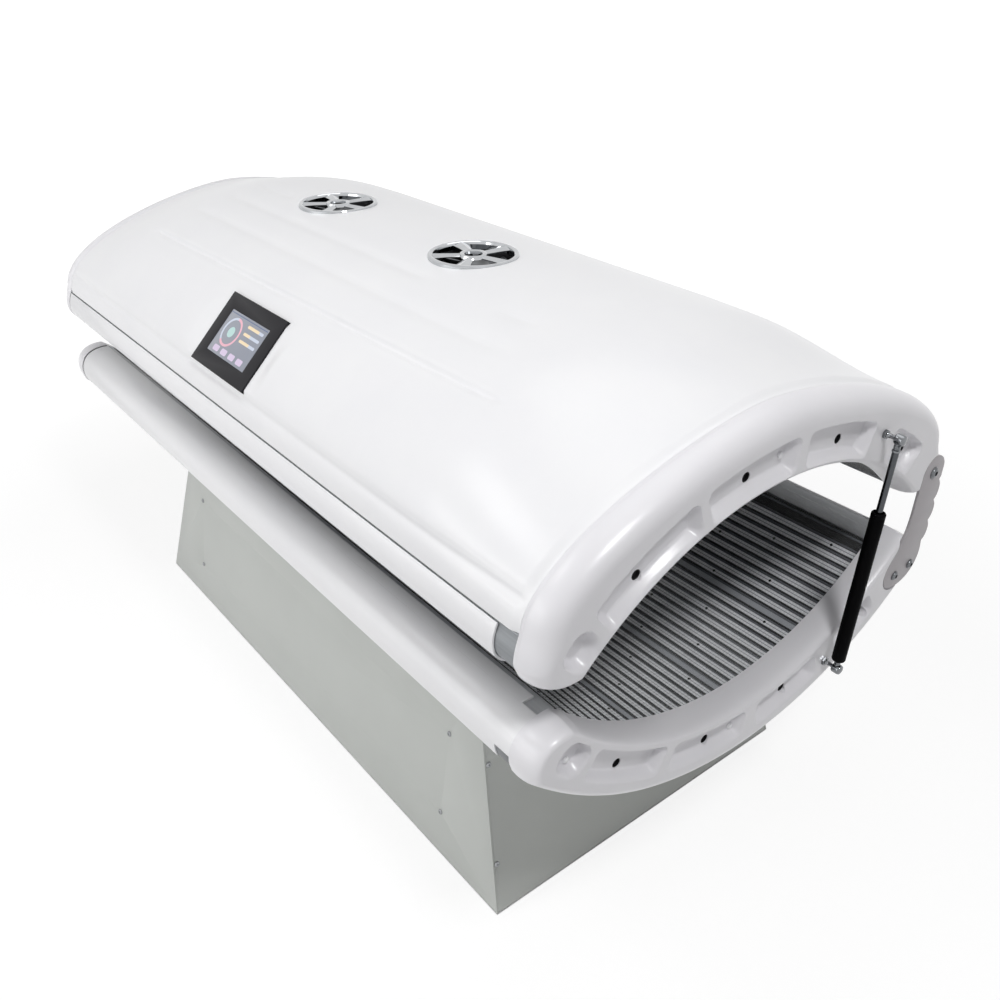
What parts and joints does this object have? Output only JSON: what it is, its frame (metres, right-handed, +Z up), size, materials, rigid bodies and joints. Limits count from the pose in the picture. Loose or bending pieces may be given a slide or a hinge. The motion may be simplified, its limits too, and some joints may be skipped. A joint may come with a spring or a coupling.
{
  "type": "light therapy bed",
  "caption": "Clamshell light therapy bed: curved lower tub and hinged canopy with lamp boards behind clear acrylic, gas springs, roof fans and a touch display, on a tapered steel base.",
  "frame": {"origin": "on the floor, at the middle of the bed's length and width", "axes": "+X along the bed towards the end seen in the picture, -Y to the open front, +Y to the hinge side, +Z up; the canopy is closed at rest"},
  "size_m": [2.228, 1.1037, 1.1795],
  "materials": {
    "white_gloss": "glossy white moulding",
    "belly_white": "white sheet",
    "base_paint": "satin light grey paint",
    "frame_steel": "grey painted tube",
    "bracket_paint": "satin white paint",
    "rail_aluminium": "satin extrusion",
    "case_aluminium": "satin finned case",
    "led_panel": "satin grey lamp boards",
    "rib_steel": "bare sheet",
    "acrylic": "clear sheet",
    "chrome": "polished",
    "spring_black": "satin black paint",
    "black_plastic": "matt black",
    "bezel": "satin dark grey",
    "screen": "glossy display window"
  },
  "bodies": {
    "bed": {"ball_stud_low_left": "chrome", "ball_stud_low_right": "chrome", "base_end_panel_left": "base_paint", "base_end_panel_right": "base_paint", "base_frame": "frame_steel", "base_front_panel": "base_paint", "base_rear_panel": "base_paint", "bracket_bolt_0_left": "chrome", "bracket_bolt_0_right": "chrome", "bracket_bolt_1_left": "chrome", "bracket_bolt_1_right": "chrome", "hinge_bracket_left": "bracket_paint", "hinge_bracket_right": "bracket_paint", "mains_inlet": "black_plastic", "pivot_bolt_left": "chrome", "pivot_bolt_right": "chrome", "power_supply_left": "case_aluminium", "power_supply_right": "case_aluminium", "tub_acrylic": "acrylic", "tub_belly": "belly_white", "tub_end_cap_left": "white_gloss", "tub_end_cap_right": "white_gloss", "tub_front_cover": "white_gloss", "tub_front_rail": "rail_aluminium", "tub_front_strip": "white_gloss", "tub_led_deck": "led_panel", "tub_rear_cover": "white_gloss", "tub_rear_rail": "rail_aluminium", "tub_rear_strip": "white_gloss", "tub_rib_left": "rib_steel", "tub_rib_right": "rib_steel"},
    "canopy": {"ball_stud_high_left": "chrome", "ball_stud_high_right": "chrome", "canopy_acrylic": "acrylic", "canopy_end_cap_left": "white_gloss", "canopy_end_cap_right": "white_gloss", "canopy_front_rail": "rail_aluminium", "canopy_front_strip": "white_gloss", "canopy_led_panel": "led_panel", "canopy_rear_rail": "rail_aluminium", "canopy_rear_strip": "white_gloss", "canopy_rib_left": "rib_steel", "canopy_rib_right": "rib_steel", "canopy_shell": "white_gloss", "control_box": "black_plastic", "display_bezel": "bezel", "display_screen": "screen", "fan_grille_left": "chrome", "fan_grille_right": "chrome", "fan_housing_left": "black_plastic", "fan_housing_right": "black_plastic"},
    "fan_rotor_left": {"fan_rotor_left": "black_plastic"},
    "fan_rotor_right": {"fan_rotor_right": "black_plastic"},
    "gas_cylinder_left": {"gas_cylinder_left": "spring_black"},
    "gas_cylinder_right": {"gas_cylinder_right": "spring_black"},
    "gas_rod_left": {"gas_rod_left": "chrome"},
    "gas_rod_right": {"gas_rod_right": "chrome"}
  },
  "joints": [
    {"name": "canopy_hinge", "type": "hinge", "parent": "bed", "child": "canopy", "pos_m": [0, 0.512, 0.832], "axis": [-1, 0, 0], "range_deg": [0, 36]},
    {"name": "gas_cylinder_right_swing", "type": "hinge", "parent": "bed", "child": "gas_cylinder_right", "pos_m": [1.1, 0.236, 0.484], "axis": [-1, 0, 0], "range_deg": [0, 12]},
    {"name": "gas_rod_right_swing", "type": "hinge", "parent": "canopy", "child": "gas_rod_right", "pos_m": [1.1, 0.2806, 0.9934], "axis": [-1, 0, 0], "range_deg": [-25, 0]},
    {"name": "gas_cylinder_left_swing", "type": "hinge", "parent": "bed", "child": "gas_cylinder_left", "pos_m": [-1.1, 0.236, 0.484], "axis": [-1, 0, 0], "range_deg": [0, 12]},
    {"name": "gas_rod_left_swing", "type": "hinge", "parent": "canopy", "child": "gas_rod_left", "pos_m": [-1.1, 0.2806, 0.9934], "axis": [-1, 0, 0], "range_deg": [-25, 0]},
    {"name": "fan_right_spin", "type": "hinge", "parent": "canopy", "child": "fan_rotor_right", "pos_m": [0.2, 0, 1.133], "axis": [0, 0, 1], "continuous": true},
    {"name": "fan_left_spin", "type": "hinge", "parent": "canopy", "child": "fan_rotor_left", "pos_m": [-0.375, 0, 1.133], "axis": [0, 0, 1], "continuous": true}
  ],
  "couplings": [
    {"joint": "gas_cylinder_right_swing", "follows": "canopy_hinge", "ratio": 0.3167},
    {"joint": "gas_rod_right_swing", "follows": "canopy_hinge", "ratio": -0.6833},
    {"joint": "gas_cylinder_left_swing", "follows": "canopy_hinge", "ratio": 0.3167},
    {"joint": "gas_rod_left_swing", "follows": "canopy_hinge", "ratio": -0.6833}
  ]
}
